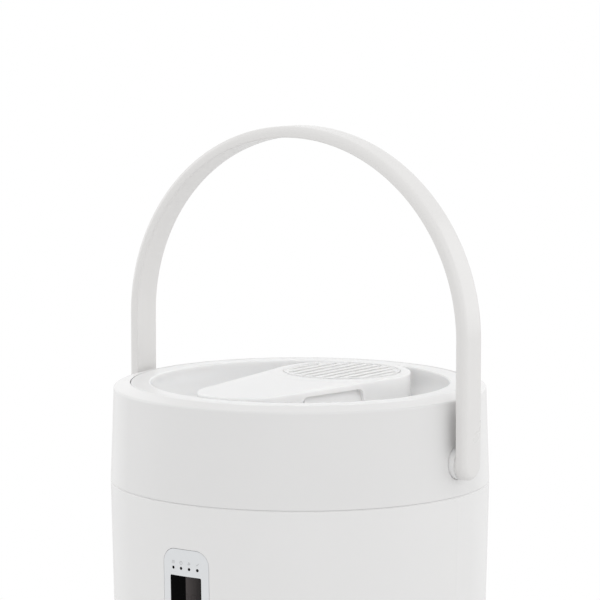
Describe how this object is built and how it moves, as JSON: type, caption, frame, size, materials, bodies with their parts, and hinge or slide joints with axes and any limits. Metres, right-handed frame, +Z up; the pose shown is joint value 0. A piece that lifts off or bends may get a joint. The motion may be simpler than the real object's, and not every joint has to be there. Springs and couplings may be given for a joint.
{
  "type": "sous vide water bath cooker",
  "caption": "Round countertop water-bath cooker with an upright arched bail handle, a recessed lift-off lid with a grip bridge and vent cap, and a narrow front control panel.",
  "frame": {"origin": "on the standing surface, under the middle of the casing", "axes": "+Z up; the control panel faces -Y, the mains inlet faces +Y, the handle's pivots lie along X"},
  "size_m": [0.2568, 0.236, 0.4086],
  "materials": {
    "casing_white": "satin white moulded plastic",
    "lid_white": "satin white moulded plastic",
    "handle_white": "satin white moulded plastic",
    "panel_white": "polished, slightly cool white",
    "button_grey": "satin pale grey",
    "window_black": "polished black",
    "lens_black": "smoked light guide",
    "steel": "brushed stainless",
    "screw_steel": "zinc plated",
    "cast_aluminium": "cast, as moulded",
    "element_metal": "heat-darkened sheath",
    "magnet_nickel": "nickel plated",
    "motor_metal": "grey zinc can",
    "rotor_black": "moulded",
    "impeller_grey": "moulded",
    "board_green": "solder mask",
    "component_black": "moulded",
    "component_blue": "moulded",
    "transformer_yellow": "taped winding",
    "terminal_grey": "moulded",
    "contact_brass": "plated",
    "lead_insulation": "silicone sleeve",
    "cable_grey": "flat cable",
    "foot_rubber": "moulded",
    "gasket_silicone": "translucent silicone",
    "bush_white": "satin white"
  },
  "bodies": {
    "casing": {"base_tray": "casing_white", "body_shell": "casing_white", "upper_collar": "casing_white", "inner_liner": "steel", "liner_screws": "screw_steel", "inner_pot": "steel", "heater_plate": "cast_aluminium", "heater_element": "element_metal", "heater_posts": "screw_steel", "temperature_probe": "cast_aluminium", "probe_spring": "screw_steel", "thermal_cutout": "component_black", "circulator_motor": "motor_metal", "motor_bracket": "screw_steel", "bracket_screws": "screw_steel", "motor_screws": "screw_steel", "impeller_pin": "steel", "impeller_retainer": "steel", "impeller_guard": "steel", "control_panel": "panel_white", "display_window": "window_black", "display_module": "component_black", "indicator_lenses": "lens_black", "indicator_lamps": "terminal_grey", "tact_switches": "component_black", "control_board": "board_green", "board_screws": "screw_steel", "mains_inlet": "component_black", "inlet_pins": "contact_brass", "power_board": "board_green", "power_board_screws": "screw_steel", "transformer": "transformer_yellow", "relay": "component_blue", "capacitor": "component_black", "terminal_block": "terminal_grey", "mains_leads": "lead_insulation", "heater_leads": "lead_insulation", "signal_cable": "cable_grey", "pivot_bushes": "bush_white", "rubber_feet": "foot_rubber", "base_screws": "screw_steel"},
    "lid": {"lid_shell": "lid_white", "inner_lid": "steel", "lid_gasket": "gasket_silicone", "lid_screws": "screw_steel", "steam_duct": "gasket_silicone"},
    "vent_cap": {"vent_cap": "lid_white"},
    "handle": {"bail_handle": "handle_white", "pivot_washers": "screw_steel", "pivot_screws": "screw_steel"},
    "drive_rotor": {"motor_shaft": "steel", "drive_rotor": "rotor_black", "drive_magnets": "magnet_nickel"},
    "impeller": {"impeller": "impeller_grey", "impeller_magnets": "magnet_nickel"},
    "minus_button": {"minus_button": "button_grey"},
    "plus_button": {"plus_button": "button_grey"},
    "timer_button": {"timer_button": "button_grey"},
    "power_button": {"power_button": "button_grey"}
  },
  "joints": [
    {"name": "lid_lift", "type": "slide", "parent": "casing", "child": "lid", "axis": [0, 0, 1], "range_m": [0, 0.08]},
    {"name": "vent_cap_lift", "type": "slide", "parent": "lid", "child": "vent_cap", "axis": [0, 0, 1], "range_m": [0, 0.03]},
    {"name": "handle_swing", "type": "hinge", "parent": "casing", "child": "handle", "pos_m": [0, 0, 0.2098], "axis": [1, 0, 0], "range_deg": [-125, 125]},
    {"name": "rotor_spin", "type": "hinge", "parent": "casing", "child": "drive_rotor", "pos_m": [0, 0, 0.05], "axis": [0, 0, 1], "continuous": true},
    {"name": "impeller_spin", "type": "hinge", "parent": "casing", "child": "impeller", "pos_m": [0, 0, 0.07], "axis": [0, 0, 1], "continuous": true},
    {"name": "minus_button_press", "type": "slide", "parent": "casing", "child": "minus_button", "axis": [0, 1, 0], "range_m": [0, 0.0005], "stiffness_N_per_m": 2400},
    {"name": "plus_button_press", "type": "slide", "parent": "casing", "child": "plus_button", "axis": [0, 1, 0], "range_m": [0, 0.0005], "stiffness_N_per_m": 2400},
    {"name": "timer_button_press", "type": "slide", "parent": "casing", "child": "timer_button", "axis": [0, 1, 0], "range_m": [0, 0.0005], "stiffness_N_per_m": 2400},
    {"name": "power_button_press", "type": "slide", "parent": "casing", "child": "power_button", "axis": [0, 1, 0], "range_m": [0, 0.0005], "stiffness_N_per_m": 2400}
  ],
  "couplings": [
    {"joint": "impeller_spin", "follows": "rotor_spin", "ratio": 1}
  ]
}
